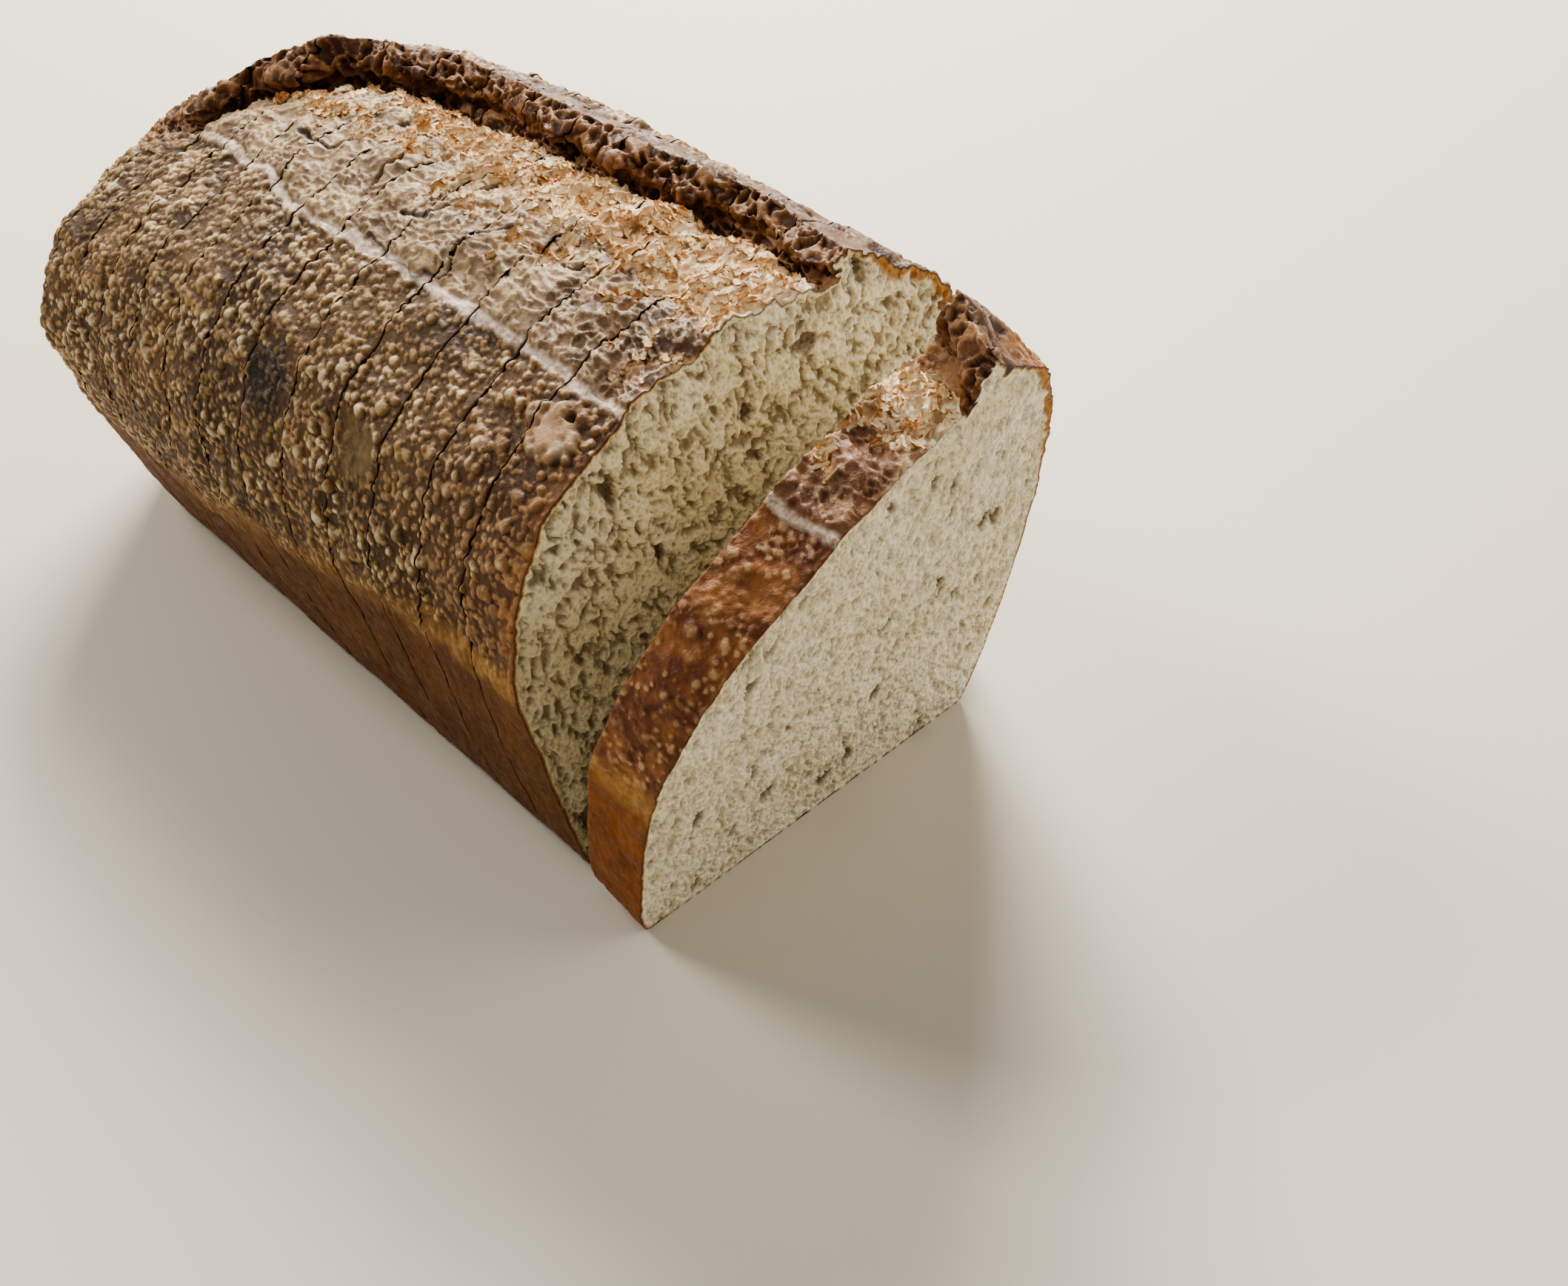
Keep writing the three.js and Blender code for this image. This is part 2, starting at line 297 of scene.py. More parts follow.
def lean(points):
    """First slice as it stands on its foot, leaning forward and turned a little more the higher it goes"""
    x, y, z = points.T
    turn = FOOT_TURN + TWIST * z / BEND_HEIGHT
    forward = y * math.cos(LEAN) - z * math.sin(LEAN) - SAG * (z / BEND_HEIGHT) ** 2
    up = z * math.cos(LEAN) + (y + THICKNESS) * math.sin(LEAN)
    across = x - FOOT_PIVOT
    return np.stack([
        across * np.cos(turn) - forward * np.sin(turn) + FOOT_PIVOT + FOOT_ASIDE,
        across * np.sin(turn) + forward * np.cos(turn) - FOOT_FORWARD,
        up,
    ], axis=-1)


def normals(points):
    """Outward directions of a closed sheet of points"""
    around = np.roll(points, -1, axis=1) - np.roll(points, 1, axis=1)
    lengthwise = np.gradient(points, axis=0)
    facing = np.cross(around, lengthwise)
    return facing / np.maximum(np.linalg.norm(facing, axis=-1, keepdims=True), 1e-9)


# Lines that part the crust's kinds along the loaf, as (station, place across) or (station, height)
STRIPE = ((-14, -29), (100, -29), (117, -25), (150, -21.6), (200, -10))
TORN_FROM = ((-14, -9), (6, -10.7), (24, -6.6), (43, -8), (66, -5.4), (112, 1.3), (135, 4), (200, 10))
TIN_TOP = ((-14, 49), (20, 51), (60, 44), (93, 38), (130, 34), (200, 36))
# Where the ear's dark top begins to fade and where it ends, beyond the corner
DARK_TOP = (9, 22)
# Sizes of the plates and of the honeycomb's holes
PLATE_SIZE = 12
COMB_SIZE = 3.4
# Blisters as (spacing, seed, reach as a share of it, height, share of places without one)
BLISTERS = ((1.45, 31, 0.55, 0.45, 0.1), (2.3, 21, 0.52, 0.8, 0.25), (4.0, 11, 0.42, 1.1, 0.6))
# Single marks on the skin as ((place across, station, height), size)
BURNT = ((-52, 76, 75), 8)
BALD = ((-52.6, 48, 73.5), 6.5)
BUBBLE = ((-37.8, 9, 88.1), 6)
CHIP = ((-34, 8, 90.1), 1.1)
# Ends of the crease across the plates, which is painted dark as shade, as (place across, station)
CREASE_FROM, CREASE_TO = (-22.4, 86), (-5, 89)


def blisters(place):
    """Height in millimetres of the blisters and how far up a blister each place is"""
    height, share = 0, 0
    for size, seed, reach, tall, bare in BLISTERS:
        near, _, own = cells(place, size, seed)
        dome = np.sqrt(clip01(1 - (near / (reach * (0.75 + 0.25 * own))) ** 2)) * (own >= bare)
        height = np.maximum(height, tall * dome * (0.8 + 0.4 * own))
        share = np.maximum(share, dome * (0.6 + 0.4 * own))
    return height, share


def mark(spot, place, size):
    """Share of a ragged round mark at each spot"""
    away = np.linalg.norm(spot - np.array(place), axis=-1) / size
    return 1 - smooth(away + 0.4 * noise(spot, 4, 141) + 0.25 * noise(spot, 1.5, 146), 0.55, 1.0)


def crease_share(spot):
    """Share of the crease at each spot, which the material paints dark as shade"""
    x, y = spot[..., 0], spot[..., 1]
    (x0, y0), (x1, y1) = CREASE_FROM, CREASE_TO
    line = y0 + (x - x0) * (y1 - y0) / (x1 - x0)
    share = 1 - smooth(np.abs(y - line + 0.9 * noise(spot, 4, 142)), 0.2, 0.9)
    return share * smooth(x, x0 - 1, x0 + 2) * (1 - smooth(x, x1 - 2, x1))


def crust_kinds(points, section, stretch):
    """Share of each kind of crust at each point"""
    x, z = section[..., 0], section[..., 1]
    y = points[..., 1]
    spot = np.stack([x, y, z], axis=-1)
    ragged = 3 * noise(points, 9, 5) + 1.8 * noise(points, 3, 6) + 0.8 * noise(points, 1.2, 4)
    is_wall, is_right = stretch == WALL, stretch == RIGHT
    upper = (stretch == LEFT) * (z > SHOULDER)

    tin_top = along(TIN_TOP, y) + 4 * noise(points, 15, 7) + 2.5 * noise(points, 3, 8)
    tin = 1 - smooth(z - tin_top, -5, 6)
    tin = np.where(is_wall, 0, np.where(stretch == BASE, 1, tin))
    from_stripe = x - along(STRIPE, y) + 0.7 * noise(points, 4, 9) + 0.35 * noise(points, 1.2, 10)
    stripe = upper * (1 - smooth(np.abs(from_stripe), 0.5, 1.3))

    into_tear = x + ragged - along(TORN_FROM, y)
    bent = warp(points, 5, 2.2, 147) * (0.8, 1, 1)
    near, next_near, plate_own = cells(bent, PLATE_SIZE, 148)
    seam = (1 - smooth(next_near - near, 0.03, 0.1)) * smooth(into_tear, -14, -5)
    torn = upper * np.maximum(smooth(into_tear, -1.2, 1.2), seam)
    plate = upper * smooth(from_stripe, 0, 2) * (1 - torn) * (1 - stripe)

    corner = section[:, [np.argmax(is_right)], 0]
    ear = is_right * (1 - smooth(x - corner + 1.5 * ragged, *DARK_TOP)) * (1 - tin)
    skin = clip01(1 - tin - stripe - torn - plate - is_wall - ear)
    return {
        "tin": tin,
        "stripe": stripe,
        "torn": torn,
        "plate": plate,
        "plate_own": plate_own,
        "crease": crease_share(spot) * plate,
        "comb": is_wall * np.ones_like(x),
        "ear": ear,
        "skin": skin,
        "burnt": mark(spot, *BURNT) * skin,
        "bald": mark(spot, *BALD) * skin,
        "bubble": mark(spot, *BUBBLE) * skin,
        "chip": mark(spot, *CHIP),
        "front": 1 - smooth(y + ragged, 3, 40),
        "fresh": 1.0 * (y <= 0),
        "warm": (1 - smooth(y + ragged, 1.5, 5)) * skin * (1 - smooth(z, 82, 90)),
    }


def torn_fibres(points):
    """Fibres of torn crust as shares: all the coarse ones, the broad ruffles among them, and fine wisps"""
    across = warp(points, 2.5, 0.8, 75) * (0.42, 1, 1)
    ruffle = ridges(across, 5.5, 88, 3.2) ** 1.5
    flake = np.maximum(ridges(across, 2.6, 78, 3.4) ** 1.5, ruffle)
    return flake, ruffle, ridges(across, 1.2, 86, 3)


def crust_details(points, kinds, climb, edge):
    """Shares of the fine things on the crust. climb is how far up the ear's wall a point is, and edge how
    far it is from the nearest cut."""
    bump, dome = blisters(warp(points, 3, 0.25, 143))
    clump = 0.75 + 0.25 * smooth(noise(points, 7, 144), -0.4, 0.4)
    flake, ruffle, wisp = torn_fibres(points)
    bent = warp(points, 4.5, 1.6, 71)
    near, next_near, comb_own = cells(warp(warp(points, 5, 2, 153), 1.6, 0.8, 83), COMB_SIZE, 81)
    streaks = noise(bent * (1, 0.14, 1), 1.7, 91) + 0.5 * noise(bent * (1, 0.2, 1), 0.8, 92)
    crack = (1 - smooth(np.abs(noise(bent, 12, 95)), 0.01, 0.05)) * smooth(noise(points, 14, 96), 0, 0.4)
    high = smooth(climb + 0.15 * noise(points, 4, 99), 0.4, 0.6)
    return {
        "bump": bump * clump,
        "dome": dome,
        "clump": clump,
        "calm": 1 - 0.7 * kinds["bald"] - 0.85 * kinds["bubble"] * (1 - kinds["bald"]),
        "flake": flake,
        "ruffle": ruffle,
        "wisp": wisp,
        "scales": ridges(bent * (1, 0.6, 1), 1.5, 145, 3),
        "crack": crack,
        "hole": smooth(next_near - near, 0.05, 0.3),
        "comb_own": comb_own,
        "high": np.where(kinds["fresh"] > 0, high, 1),
        "low": (1 - smooth(climb, 0.1, 0.5)) * (1 - kinds["fresh"]),
        "streak": smooth(streaks, -0.1, 0.5),
        "wrinkle": ridges(bent * (1, 1, 0.4), 2.4, 98, 2.5),
        "nick": smooth(noise(points, 4.5, 97), 0.62, 0.9) * (1 - kinds["tin"]),
        "edge": edge,
    }


def crust_height(points, kinds, details):
    """Height in millimetres of the fine relief over the crust"""
    kind, fine = SimpleNamespace(**kinds), SimpleNamespace(**details)
    lumps = layered(points, 11, 3, 51)
    grain = layered(points, 2.2, 3, 61)
    blistered = fine.calm * (fine.bump * (1 - 0.4 * kind.fresh) - 0.3) + 1.3 * lumps + 0.25 * grain
    plated = 0.5 + 1.1 * lumps + 0.3 * fine.bump + 0.6 * grain + 0.6 * fine.scales - 0.7 * fine.crack
    torn = 0.8 * fine.flake + 0.8 * fine.ruffle + 0.6 * fine.wisp + 0.6 * grain + 0.8 * lumps - 0.5
    combed = fine.high * (0.8 - 1.6 * fine.hole * (0.3 + fine.comb_own)) + 0.8 * grain
    height = kind.skin * blistered
    height = height + 1.5 * np.sqrt(kind.bubble) - 0.4 * kind.bald
    height = height + kind.stripe * (0.2 + 0.5 * grain)
    height = height + kind.plate * plated
    height = height + kind.torn * torn
    height = height + kind.comb * (combed - 0.3 * fine.low + 1.3 * lumps)
    height = height + kind.ear * (0.5 * lumps + 0.5 * grain - 0.7 * fine.streak)
    height = height + kind.tin * (0.3 * lumps + 0.14 * grain + 0.2 * fine.wrinkle)
    height = height - 0.06 * np.exp(-fine.edge / 0.2) - 0.9 * fine.nick * np.exp(-fine.edge / 0.6)
    return height - 1.2 * kind.crease - 1.6 * kind.chip


def painted_details(details):
    """The shares of the crust's details that its material reads"""
    fine = SimpleNamespace(**details)
    return {
        "dome": fine.dome * fine.calm * fine.clump,
        "flake": clip01(fine.flake + 0.5 * fine.wisp ** 2),
        "hole": fine.hole * fine.high,
        "low": fine.low,
        "high": fine.high,
        "streak": fine.streak,
        # Cracks, and nicks near the cuts, which the material paints dark as shade
        "crack": clip01(fine.crack + fine.nick * np.exp(-fine.edge / 0.5)),
        "wrinkle": fine.wrinkle,
        "scales": fine.scales,
        # Nearness to a cut, which the material paints dark as shade along the cut lines
        "edge": np.exp(-fine.edge / 0.35) + 0 * fine.dome,
    }


# Points taken at once, and the scatter and the clearance of a cut face's points as shares of their pitch
POINTS_AT_ONCE = 4000
FACE_SCATTER, FACE_CLEARANCE = 0.18, 0.7


def inside(points, ring):
    """Which points lie inside a closed ring, how far each is from it, and its nearest point of the ring"""
    ax, az = ring.T
    bx, bz = np.roll(ring, -1, axis=0).T
    dz = np.where(np.abs(bz - az) < 1e-9, 1e-9, bz - az)
    within, gap, nearest = [], [], []
    for part in np.array_split(points, max(1, len(points) // POINTS_AT_ONCE)):
        px, pz = part[:, :1], part[:, 1:]
        crossing = ((az > pz) != (bz > pz)) & (px < (bx - ax) * (pz - az) / dz + ax)
        within.append(crossing.sum(axis=1) % 2 == 1)
        squares = (px - ax) ** 2 + (pz - az) ** 2
        gap.append(np.sqrt(squares.min(axis=1)))
        nearest.append(squares.argmin(axis=1))
    return np.concatenate(within), np.concatenate(gap), np.concatenate(nearest)


def hex_points(ring, pitch):
    """Evenly scattered points inside a ring, their distances from it and their nearest points of it"""
    low, high = ring.min(axis=0), ring.max(axis=0)
    rows = np.arange(low[1], high[1], pitch * math.sqrt(0.75))
    columns = np.arange(low[0], high[0], pitch)
    x, z = np.meshgrid(columns, rows)
    x = x + (np.arange(len(rows)) % 2)[:, None] * pitch / 2
    points = np.stack([x.ravel(), z.ravel()], axis=-1)
    random = np.random.default_rng(SEED)
    points += random.uniform(-FACE_SCATTER, FACE_SCATTER, points.shape) * pitch
    within, gap, nearest = inside(points, ring)
    keep = within & (gap > pitch * FACE_CLEARANCE)
    return points[keep], gap[keep], nearest[keep]


def fill(ring, pitch):
    """Triangles inside a ring, the points that they add, and the distances of those from the ring and their
    nearest points of it"""
    points, gap, nearest = hex_points(ring, pitch)
    count = len(ring)
    edges = [(i, (i + 1) % count) for i in range(count)]
    coordinates = [tuple(p) for p in np.concatenate([ring, points]).tolist()]
    found, _, faces, origins, _, _ = delaunay_2d_cdt(coordinates, edges, [], 1, 1e-7, True)
    source = np.array([o[0] if o else -1 for o in origins])
    extra = np.flatnonzero(source < 0)
    made = np.array([tuple(found[i]) for i in extra]).reshape(-1, 2)
    source[extra] = count + len(points) + np.arange(len(made))
    points = np.concatenate([points, made])
    gap = np.concatenate([gap, np.zeros(len(made))])
    nearest = np.concatenate([nearest, np.zeros(len(made), dtype=int)])
    triangles = source[np.array(faces)]
    middles = np.concatenate([ring, points])[triangles].mean(axis=1)
    return triangles[inside(middles, ring)[0]], points, gap, nearest


# Depth of the browned rim round a cut, and how much deeper it gets at the right shoulder, and where
RIM, THICK_RIM = 1.0, 3.4
THICK_RIM_ACROSS, THICK_RIM_HEIGHTS = (22, 40), (60, 80)
# Pores of the crumb as (spacing, reach as a share of it, depth, share of places without one)
PORES = ((1.6, 0.5, 0.8, 0.25), (2.9, 0.44, 1.5, 0.5), (6.5, 0.36, 2.6, 0.82))
# How open the crumb of a piece is, where it isn't 1. It also scales the painted shade in the pores, so the
# first standing slice's face comes out darker and the leaning slice's lighter
OPENNESS = {"leaning_slice": 0.8, "slice_01": 1.25}
# Single holes as (place across, height, half width, half height)
HOLES = {
    "slice_01": ((9.8, 88.8, 3.6, 1.9), (-33.6, 79.8, 1.4, 3.4), (-25, 62, 1.3, 2.6), (-4, 81, 1.1, 2)),
}
HOLE_DEPTH = 3.2


def crumb_depth(place, gap, name):
    """Depth of the pores below the cut, and how deep in a pore each place is as a share"""
    bent = warp(warp(place, 2.6, 1.2, 101), 1.0, 0.5, 105) * (1.4, 1, 0.7)
    depth = 0.9 * smooth(layered(bent, 1.4, 3, 131), -0.1, 0.4)
    for i, (size, reach, deep, bare) in enumerate(PORES):
        near, _, own = cells(bent, size, 110 + 10 * i)
        bowl = clip01(1 - (near / (reach * (0.6 + 0.4 * own))) ** 2) * (own >= bare)
        depth = np.maximum(depth, deep * (0.5 + 0.5 * own) * bowl ** 0.6)
    depth = depth * smooth(gap, 0.3, 1.8) * OPENNESS.get(name, 1)
    moved = warp(place, 2.6, 0.6, 151)
    for across, up, wide, tall in HOLES.get(name, ()):
        away = np.hypot((moved[:, 0] - across) / wide, (moved[:, 2] - up) / tall)
        depth = np.maximum(depth, HOLE_DEPTH * clip01(1 - away ** 2) ** 0.6)
    return depth, clip01(depth / 1.3)


# Pitches of the points of a cut face: at the whole end, at a cut that the next slice hides, at the back and
# the front of the leaning slice, and at the front of the first standing one
END_PITCH, HIDDEN_PITCH, BACK_PITCH, LEANING_PITCH, STANDING_PITCH = 2.5, 1.5, 1.0, 0.46, 0.44


def cut_face(ring, golden, y, inward, pitch, name):
    """Triangles of a cut face inside a ring of points, its new points with their pores, and their shares.
    golden says how brown the crust is at each point of the ring."""
    flat = ring[:, [0, 2]]
    triangles, points, gap, nearest = fill(flat, pitch)
    across, up = flat[nearest].T
    thick = smooth(across, *THICK_RIM_ACROSS), smooth(up, *THICK_RIM_HEIGHTS)
    rim = RIM + THICK_RIM * thick[0] * thick[1] * (1 + noise(flat[nearest, :1].repeat(3, 1), 5))
    place = np.stack([points[:, 0], np.full(len(points), y), points[:, 1]], axis=-1)
    depth, pore = crumb_depth(place, gap, name)
    place[:, 1] += inward * depth
    corners = np.concatenate([flat, points])[triangles]
    area = np.cross(corners[:, 1] - corners[:, 0], corners[:, 2] - corners[:, 0])
    triangles = np.where((area * inward > 0)[:, None], triangles, triangles[:, ::-1])
    return triangles, place, {
        "pore": pore,
        "brown": golden[nearest] * (1 - smooth(gap, 0.3 * rim, rim)),
        # Painted shade near the crust on a cut face that the next slice hides
        "rind": (1 - smooth(gap, 2, 4)) * (pitch == HIDDEN_PITCH),
    }


# Distance from a cut past which the cut has no effect on the crust
FAR_FROM_CUT = 9


def crust_sheet(y, whole_end, variation):
    """Crust of a piece by stations and columns: its points, their outward directions and their shares"""
    points, section, stretch = body(y, **variation)
    kinds = crust_kinds(points, section, stretch)
    walls = stretch == WALL
    climb = np.where(walls, (np.cumsum(walls) - 1) / max(walls.sum() - 1, 1), 0)[None, :]
    from_cut = np.minimum(y - y[0], FAR_FROM_CUT if whole_end else y[-1] - y)
    details = crust_details(points, kinds, climb, from_cut[:, None])
    height = crust_height(points, kinds, details) * (stretch != BASE)
    slant = kinds["torn"] * (0.9 * details["flake"] + 0.4 * details["wisp"]) * noise(points, 5, 94)
    facing = normals(points)
    facing[[0, -1], :, 1] = 0
    size = np.linalg.norm(facing, axis=-1, keepdims=True)
    points = points + facing / np.maximum(size, 1e-9) * height[..., None]
    points[..., 1] = np.clip(points[..., 1] + slant, y[0], y[-1])
    points[0, :, 1], points[-1, :, 1] = y[0], y[-1]
    points[..., 2] = np.maximum(points[..., 2], 0)
    return points, facing, {**kinds, **painted_details(details)}


def sheet_quads(rows, columns):
    """Four-sided faces of a closed sheet of points by rows and columns"""
    at = np.arange(rows * columns).reshape(rows, columns)
    turned = np.roll(at, -1, axis=1)
    return np.stack([at[:-1], turned[:-1], turned[1:], at[1:]], axis=-1).reshape(-1, 4)


def bread_mesh(name, places, quads, cuts, shares, whole_end):
    """Mesh of a crust and its two cut faces with the shares on its points. A whole end is crust all over."""
    triangles = np.concatenate(cuts)
    corners = np.concatenate([quads.ravel(), triangles.ravel()])
    starts = np.concatenate([np.arange(len(quads)) * 4, quads.size + np.arange(len(triangles)) * 3])
    finish = np.repeat([0, 1, 0 if whole_end else 1], [len(quads), len(cuts[0]), len(cuts[1])])
    mesh = bpy.data.meshes.new(name)
    mesh.vertices.add(len(places))
    mesh.vertices.foreach_set("co", ((places + TO_FRAME) / MILLIMETRES).astype(np.float32).ravel())
    mesh.loops.add(len(corners))
    mesh.loops.foreach_set("vertex_index", corners.astype(np.int32))
    mesh.polygons.add(len(starts))
    mesh.polygons.foreach_set("loop_start", starts.astype(np.int32))
    mesh.materials.append(CRUST)
    mesh.materials.append(CRUMB)
    mesh.polygons.foreach_set("material_index", finish.astype(np.int32))
    mesh.update(calc_edges=True)
    for key, value in shares.items():
        attribute = mesh.attributes.new(key, "FLOAT", "POINT")
        attribute.data.foreach_set("value", value.astype(np.float32))
    mesh.validate()
    mesh.polygons.foreach_set("use_smooth", np.ones(len(mesh.polygons), dtype=bool))
    return mesh


def add_piece(name, node, mesh):
    """Adds a mesh to the scene as a piece that stands for a node"""
    piece = bpy.data.objects.new(name, mesh)
    bpy.context.scene.collection.objects.link(piece)
    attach(piece, "root")
    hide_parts(node)


def build_piece(name, y, slot, pitches, **variation):
    """One slice or the end: its crust, its two cut faces and its flakes. The pitches are those of its front
    and its back."""
    whole_end = pitches[1] == END_PITCH
    points, facing, shares = crust_sheet(y, whole_end, variation)
    rows, columns = points.shape[:2]
    golden = 1 - 0.75 * shares["torn"] - 0.5 * shares["comb"]
    crust_places = points.reshape(-1, 3)
    shares = {key: value.ravel() for key, value in shares.items()}
    torn = shares["torn"]
    shares["pore"] = np.zeros(rows * columns)
    shares["brown"] = golden.ravel()
    shares["rind"] = np.ones(rows * columns)
    places, cuts = crust_places, []
    for row, inward, pitch in ((0, 1, pitches[0]), (rows - 1, -1, pitches[1])):
        found, place, own = cut_face(points[row], golden[row], y[row], inward, pitch, name)
        cuts.append(np.where(found < columns, found + row * columns, found - columns + len(places)))
        places = np.concatenate([places, place])
        for key, value in shares.items():
            shares[key] = np.concatenate([value, own.get(key, np.zeros(len(place)))])
    stood = lean(places) if variation else places
    mesh = bread_mesh(name, stood, sheet_quads(rows, columns), cuts, shares, whole_end)
    add_piece(name + "_bread", name, mesh)
    build_flakes(name, crust_places, facing.reshape(-1, 3), torn, y, bool(variation))


# Flakes of torn crust: rows from root to tip, turn of each row, thickness as a share of the length
FLAKE_ROWS, FLAKE_TURN, FLAKE_THICKNESS = 4, math.radians(24), 0.07
# Flakes for each millimetre of the loaf, how far they stand from a cut, how far up their ground faces, and
# how deep their roots are
FLAKES_IN_LENGTH, FLAKE_CLEARANCE, FLAKE_FACING, FLAKE_ROOT = 11, 0.8, 0.6, 0.35
FLAKE_WIDTHS, FLAKE_LENGTHS = (0.9, 3.4), (0.6, 1.7)


def flake_model():
    """One curled flake a unit wide and long with its root at the origin: its points, its faces, and how
    near its tip each point is"""
    bpy.ops.object.select_all(action="DESELECT")
    bpy.ops.mesh.primitive_plane_add(size=1, location=(0, 0.5, 0))
    flake = bpy.context.object
    bpy.ops.object.transform_apply(location=True, rotation=False, scale=False)
    bpy.ops.object.mode_set(mode="EDIT")
    bpy.ops.mesh.subdivide(number_cuts=FLAKE_ROWS - 1)
    bpy.ops.mesh.select_mode(type="VERT")
    bpy.ops.object.mode_set(mode="OBJECT")
    vertices = flake.data.vertices
    heights = [i / FLAKE_ROWS for i in range(1, FLAKE_ROWS)]
    beyond = [[v.index for v in vertices if v.co.y > height + 0.01] for height in heights]
    roots = [next(v.index for v in vertices if abs(v.co.y - height) < 0.01) for height in heights]
    for chosen, root in zip(beyond, roots):
        for vertex in flake.data.vertices:
            vertex.select = vertex.index in chosen
        pivot = flake.data.vertices[root].co.copy()
        bpy.ops.object.mode_set(mode="EDIT")
        bpy.ops.transform.rotate(value=FLAKE_TURN, orient_axis="X", center_override=pivot)
        bpy.ops.object.mode_set(mode="OBJECT")
    skin = flake.modifiers.new("skin", "SOLIDIFY")
    skin.thickness = FLAKE_THICKNESS
    bpy.ops.object.modifier_apply(modifier="skin")
    points = np.array([v.co for v in flake.data.vertices])
    faces = np.array([tuple(p.vertices) for p in flake.data.polygons])
    bpy.data.objects.remove(flake)
    tip = np.arctan2(np.abs(points[:, 2]), points[:, 1])
    return points, faces, tip / tip.max()


def flake_places(places, facing, torn, y, random):
    """Which of the crust's points flakes stand on: on the torn band, and most along its ragged border"""
    border = 4 * torn * (1 - torn)
    from_cut = np.minimum(places[:, 1] - y[0], y[-1] - places[:, 1])
    clear = (from_cut > FLAKE_CLEARANCE) & (facing[:, 2] > FLAKE_FACING)
    weight = (torn + 1.6 * border) * clear
    if weight.sum() < 1:
        return []
    count = int(FLAKES_IN_LENGTH * min(y[-1] - y[0], CUT_PITCH))
    return random.choice(len(places), count, p=weight / weight.sum())


def flake_axes(facing, random):
    """Directions of each flake's width, of its length up from the crust and of its curl, tilted by chance"""
    up = facing / np.maximum(np.linalg.norm(facing, axis=-1, keepdims=True), 1e-9)
    turn = random.normal(0, 0.9, len(up))
    wide = np.stack([np.cos(turn), np.sin(turn), 0 * turn], axis=-1)
    wide = wide - up * (wide * up).sum(axis=-1, keepdims=True)
    wide /= np.linalg.norm(wide, axis=-1, keepdims=True)
    curl = np.cross(wide, up)
    tilt = random.normal(0.35, 0.35, len(up))[:, None]
    return wide, up * np.cos(tilt) + curl * np.sin(tilt), curl * np.cos(tilt) - up * np.sin(tilt)


def flake_points(roots, facing, random):
    """Points of one flake for each root, each with its own turn, tilt, size and ragged edge"""
    points, _, tip = FLAKE
    tip = tip[None, :, None]
    wide, up, curl = (axis[:, None] for axis in flake_axes(facing, random))
    width = random.uniform(*FLAKE_WIDTHS, (len(roots), 1, 1))
    length = random.uniform(*FLAKE_LENGTHS, (len(roots), 1, 1))
    ragged = 1 + 0.35 * random.uniform(-1, 1, (len(roots), len(points), 1)) * tip
    aside, far, out = (points[None, :, i, None] for i in range(3))
    flakes = roots[:, None] - up * FLAKE_ROOT
    flakes = flakes + wide * aside * width * (1 - 0.3 * tip) * ragged
    return flakes + (up * far + curl * out) * length * ragged


def build_flakes(name, places, facing, torn, y, leaning):
    """Curled flakes that stand on a slice's torn band and along its ragged border"""
    random = np.random.default_rng([SEED, int(abs(y[0]) * 10)])
    chosen = flake_places(places, facing, torn, y, random)
    if not len(chosen):
        return
    points, faces, tip = FLAKE
    flakes = flake_points(places[chosen], facing[chosen], random)
    flakes[..., 1] = np.clip(flakes[..., 1], y[0], y[-1])
    flat = flakes.reshape(-1, 3)
    flat = lean(flat) if leaning else flat
    mesh = bpy.data.meshes.new(name + "_flakes")
    starts = np.arange(len(chosen))[:, None, None] * len(points)
    all_faces = (faces[None] + starts).reshape(-1, faces.shape[1])
    mesh.from_pydata(((flat + TO_FRAME) / MILLIMETRES).tolist(), [], all_faces.tolist())
    mesh.materials.append(FLAKE_CRUST)
    tips = mesh.attributes.new("tip", "FLOAT", "POINT")
    tips.data.foreach_set("value", np.tile(tip, len(chosen)).astype(np.float32))
    add_piece(name + "_flakes", name, mesh)


def linear(code):
    """Linear colour of a hex code"""
    parts = [int(code[i:i + 2], 16) / 255 for i in (1, 3, 5)]
    return tuple(p / 12.92 if p <= 0.04045 else ((p + 0.055) / 1.055) ** 2.4 for p in parts) + (1.0,)


class Wire:
    """A shader socket that works in Python expressions, in which a hex code stands for a colour"""

    def __init__(self, tree, socket):
        self.tree = tree
        self.socket = socket

    def node(self, kind, settings=None, inputs=None, output=0):
        """Any other node, made from its type, its settings and its inputs by name or place"""
        made = self.tree.nodes.new(kind)
        for key, value in (settings or {}).items():
            setattr(made, key, value)
        for key, value in (inputs or {}).items():
            if isinstance(value, Wire):
                self.tree.links.new(value.socket, made.inputs[key])
            else:
                made.inputs[key].default_value = linear(value) if isinstance(value, str) else value
        return Wire(self.tree, made.outputs[output])

    def maths(self, operation, first, second):
        """Arithmetic on values, which no colour or vector goes through"""
        return self.node("ShaderNodeMath", {"operation": operation}, {0: first, 1: second})

    def __add__(self, other):
        return self.maths("ADD", self, other)

    def __sub__(self, other):
        return self.maths("SUBTRACT", self, other)

    def __rsub__(self, other):
        return self.maths("SUBTRACT", other, self)

    def __mul__(self, other):
        return self.maths("MULTIPLY", self, other)

    __radd__ = __add__
    __rmul__ = __mul__

    def mix(self, first, second):
        """Colour from first to second as this value goes from 0 to 1"""
        settings = {"data_type": "RGBA", "blend_type": "MIX"}
        return self.node("ShaderNodeMix", settings, {0: self, 6: first, 7: second}, 2)

    def step(self, low, high):
        """This value eased from 0 at low to 1 at high"""
        settings = {"interpolation_type": "SMOOTHSTEP"}
        return self.node("ShaderNodeMapRange", settings, {0: self, 1: low, 2: high, 3: 0.0, 4: 1.0})


